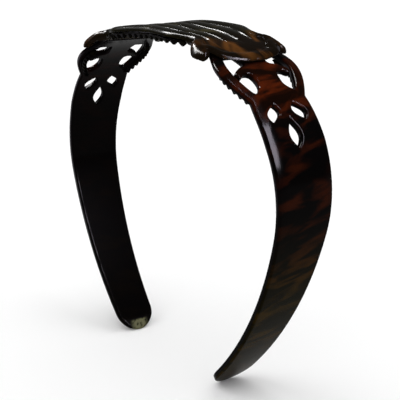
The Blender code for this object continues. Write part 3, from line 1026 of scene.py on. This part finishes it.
# %% [markdown]
# The combs lie in shade under the edges. They could be plain black, but faint olive clouds tie them to
# the sheets, and they have less gloss than either.

# %% Plastic of the combs
COMB_GRAIN = (0.4, 0.4)
COMB_LEVELS = (0.4, 0.7)
COMB_WARP = 0.4
COMB_DETAIL = 3.0
COMB_OLIVE = (0.0030, 0.0025, 0.0009)
COMB_ROUGHNESS = 0.3
COMB_SPECULAR = 0.004


def comb_plastic():
    material, tree, shader = new_shader("tortoiseshell_comb")
    clouds = grain_noise(tree, 0.0, COMB_GRAIN, COMB_LEVELS, COMB_WARP, COMB_DETAIL)
    colour = blend_colour(tree, clouds, BLACK, COMB_OLIVE)
    tree.links.new(colour, shader.inputs["Base Color"])
    shader.inputs["Roughness"].default_value = COMB_ROUGHNESS
    shader.inputs["Specular IOR Level"].default_value = COMB_SPECULAR
    return material


comb_skin = comb_plastic()
print(comb_skin.name, "has", len(comb_skin.node_tree.nodes), "shader nodes")

# %% [markdown]
# Each drawn piece now takes the place of its solid. The crest and its combs stay with the crest. An arm
# could turn stiffly on its joint, but a sprung sheet bends, so it is blended from the crest to its own
# body. Its lap then stays under the collar while the arm is sprung open.

# %% Attach the pieces
FLEX_START = 45.0
FLEX_END = 95.0


def attach():
    crest.data.materials.append(crest_skin)
    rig.replaces(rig.slot(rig.ride(crest, "crest"), "crest"), "crest")
    for end, piece in crest_combs.items():
        piece.data.materials.append(comb_skin)
        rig.replaces(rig.slot(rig.ride(piece, "crest"), "comb"), "crest_" + end + "_comb")
    for (hand, side), arm in zip(SIDES.items(), (left_arm, right_arm)):
        start = bend(side * FLEX_START, 0.0, 0.0)
        end = bend(side * FLEX_END, 0.0, 0.0)
        arm.data.materials.append(arm_skin)
        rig.replaces(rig.slot(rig.blend(arm, "crest", hand + "_arm", start, end), "arm"), hand + "_arm")
        for which in ENDS:
            comb = heart_combs[(hand, which)]
            comb.data.materials.append(comb_skin)
            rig.blend(comb, "crest", hand + "_arm", start, end)
            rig.replaces(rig.slot(comb, "comb"), hand + "_" + which + "_comb")


attach()
print("pieces", sorted(piece.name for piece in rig.pieces()))

# %% [markdown]
# A wide pale floor under the tips gives the white ground. A soft sun and an even grey sky light it
# plainly. The sun could also show in the gloss, but one so wide would haze over the dark plastic, so it
# is kept out of it.

# %% Floor, sky and sun
FLOOR_SIZE = 400.0
FLOOR_COLOUR = 0.95
FLOOR_ROUGHNESS = 0.9
SKY_LEVEL = 0.15
SUN_STRENGTH = 3.1
SUN_ANGLE = math.radians(120.0)


def add_floor():
    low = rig.bounds()[0]
    bpy.ops.mesh.primitive_plane_add(size=FLOOR_SIZE, location=(0.0, 0.0, low[2]))
    floor = bpy.context.object
    floor.name = "floor"
    material, _, shader = new_shader("floor_paper")
    shader.inputs["Base Color"].default_value = (FLOOR_COLOUR, FLOOR_COLOUR, FLOOR_COLOUR, 1.0)
    shader.inputs["Roughness"].default_value = FLOOR_ROUGHNESS
    shader.inputs["Specular IOR Level"].default_value = 0.0
    floor.data.materials.append(material)
    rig.stage(floor)
    print("floor lies at", round(low[2], 4))


def add_sky():
    world = bpy.data.worlds.new("studio")
    bpy.context.scene.world = world
    world.use_nodes = True
    sky = world.node_tree.nodes["Background"]
    sky.inputs["Color"].default_value = (1.0, 1.0, 1.0, 1.0)
    sky.inputs["Strength"].default_value = SKY_LEVEL


def add_sun():
    bpy.ops.object.light_add(type="SUN")
    sun = bpy.context.object
    sun.data.energy = SUN_STRENGTH
    sun.data.angle = SUN_ANGLE
    sun.visible_glossy = False


add_floor()
add_sky()
add_sun()

# %% [markdown]
# The white lines along the flutes and the edges are reflections. Ordinary lamps could give them, but
# they would also wash out the dark plastic. These panels show only in the gloss: they light no colour,
# and the camera doesn't see them. Each row gives a panel's name, its two ends in metres, the point it
# is aimed at, its width, its radiance and its tint. The Standard view then shows all colours as they
# are.

# %% Panels for the gloss
WHITE = (1.0, 1.0, 1.0)
LILAC = (0.92, 0.86, 1.0)
CREST_TOP = (0.01, 0.0, 0.004)
RIGHT_EDGE = (0.062, -0.010, -0.028)
PANELS = (
    ("flute_strip", (-0.47, -0.10, 0.37), (-0.06, -0.26, 0.55), CREST_TOP, 0.11, 205.0, WHITE),
    ("front_card", (-0.36, -0.22, 0.43), (-0.24, -0.34, 0.43), CREST_TOP, 0.16, 120.0, WHITE),
    ("front_wall", (-0.52, -0.05, 0.36), (-0.25, -0.40, 0.36), CREST_TOP, 0.30, 2.5, WHITE),
    ("right_card", (0.43, 0.165, 0.43), (0.62, 0.165, 0.15), RIGHT_EDGE, 0.14, 210.0, LILAC),
    ("rim_card", (0.16, 0.125, 0.56), (0.40, 0.125, 0.47), RIGHT_EDGE, 0.06, 100.0, LILAC),
    ("edge_card", (-0.15, -0.05, -0.06), (-0.11, -0.17, -0.06), RIGHT_EDGE, 0.11, 6.0, LILAC),
)


def add_panel(name, start, end, aim, width, radiance, colour):
    """Lamp panel from start to end that faces the point aimed at and shows only in the gloss."""
    start, end, aim = Vector(start), Vector(end), Vector(aim)
    middle = (start + end) / 2
    away = (middle - aim).normalized()
    across = (end - start).cross(away).normalized()
    along = away.cross(across)
    turn = Matrix((across, along, away)).transposed().to_euler()
    bpy.ops.object.light_add(type="AREA", location=middle, rotation=turn)
    panel = bpy.context.object
    panel.name = name
    panel.data.shape = "RECTANGLE"
    panel.data.size = width
    panel.data.size_y = (end - start).length
    panel.data.color = colour
    panel.data.energy = radiance * math.pi * panel.data.size * panel.data.size_y
    panel.visible_diffuse = False
    panel.visible_camera = False


for panel_row in PANELS:
    add_panel(*panel_row)
print("panels", len(PANELS))
bpy.context.scene.view_settings.view_transform = "Standard"

# %% [markdown]
# The size of the drawn band is written down beside that of the solids, to compare the two.

# %% Size and finish
visual_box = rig.bounds()
sizes = {"cad": [list(corner) for corner in cad_box], "visual": [list(corner) for corner in visual_box]}
with open("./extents.json", "w") as file:
    json.dump(sizes, file)
print("drawn band spans", visual_box)
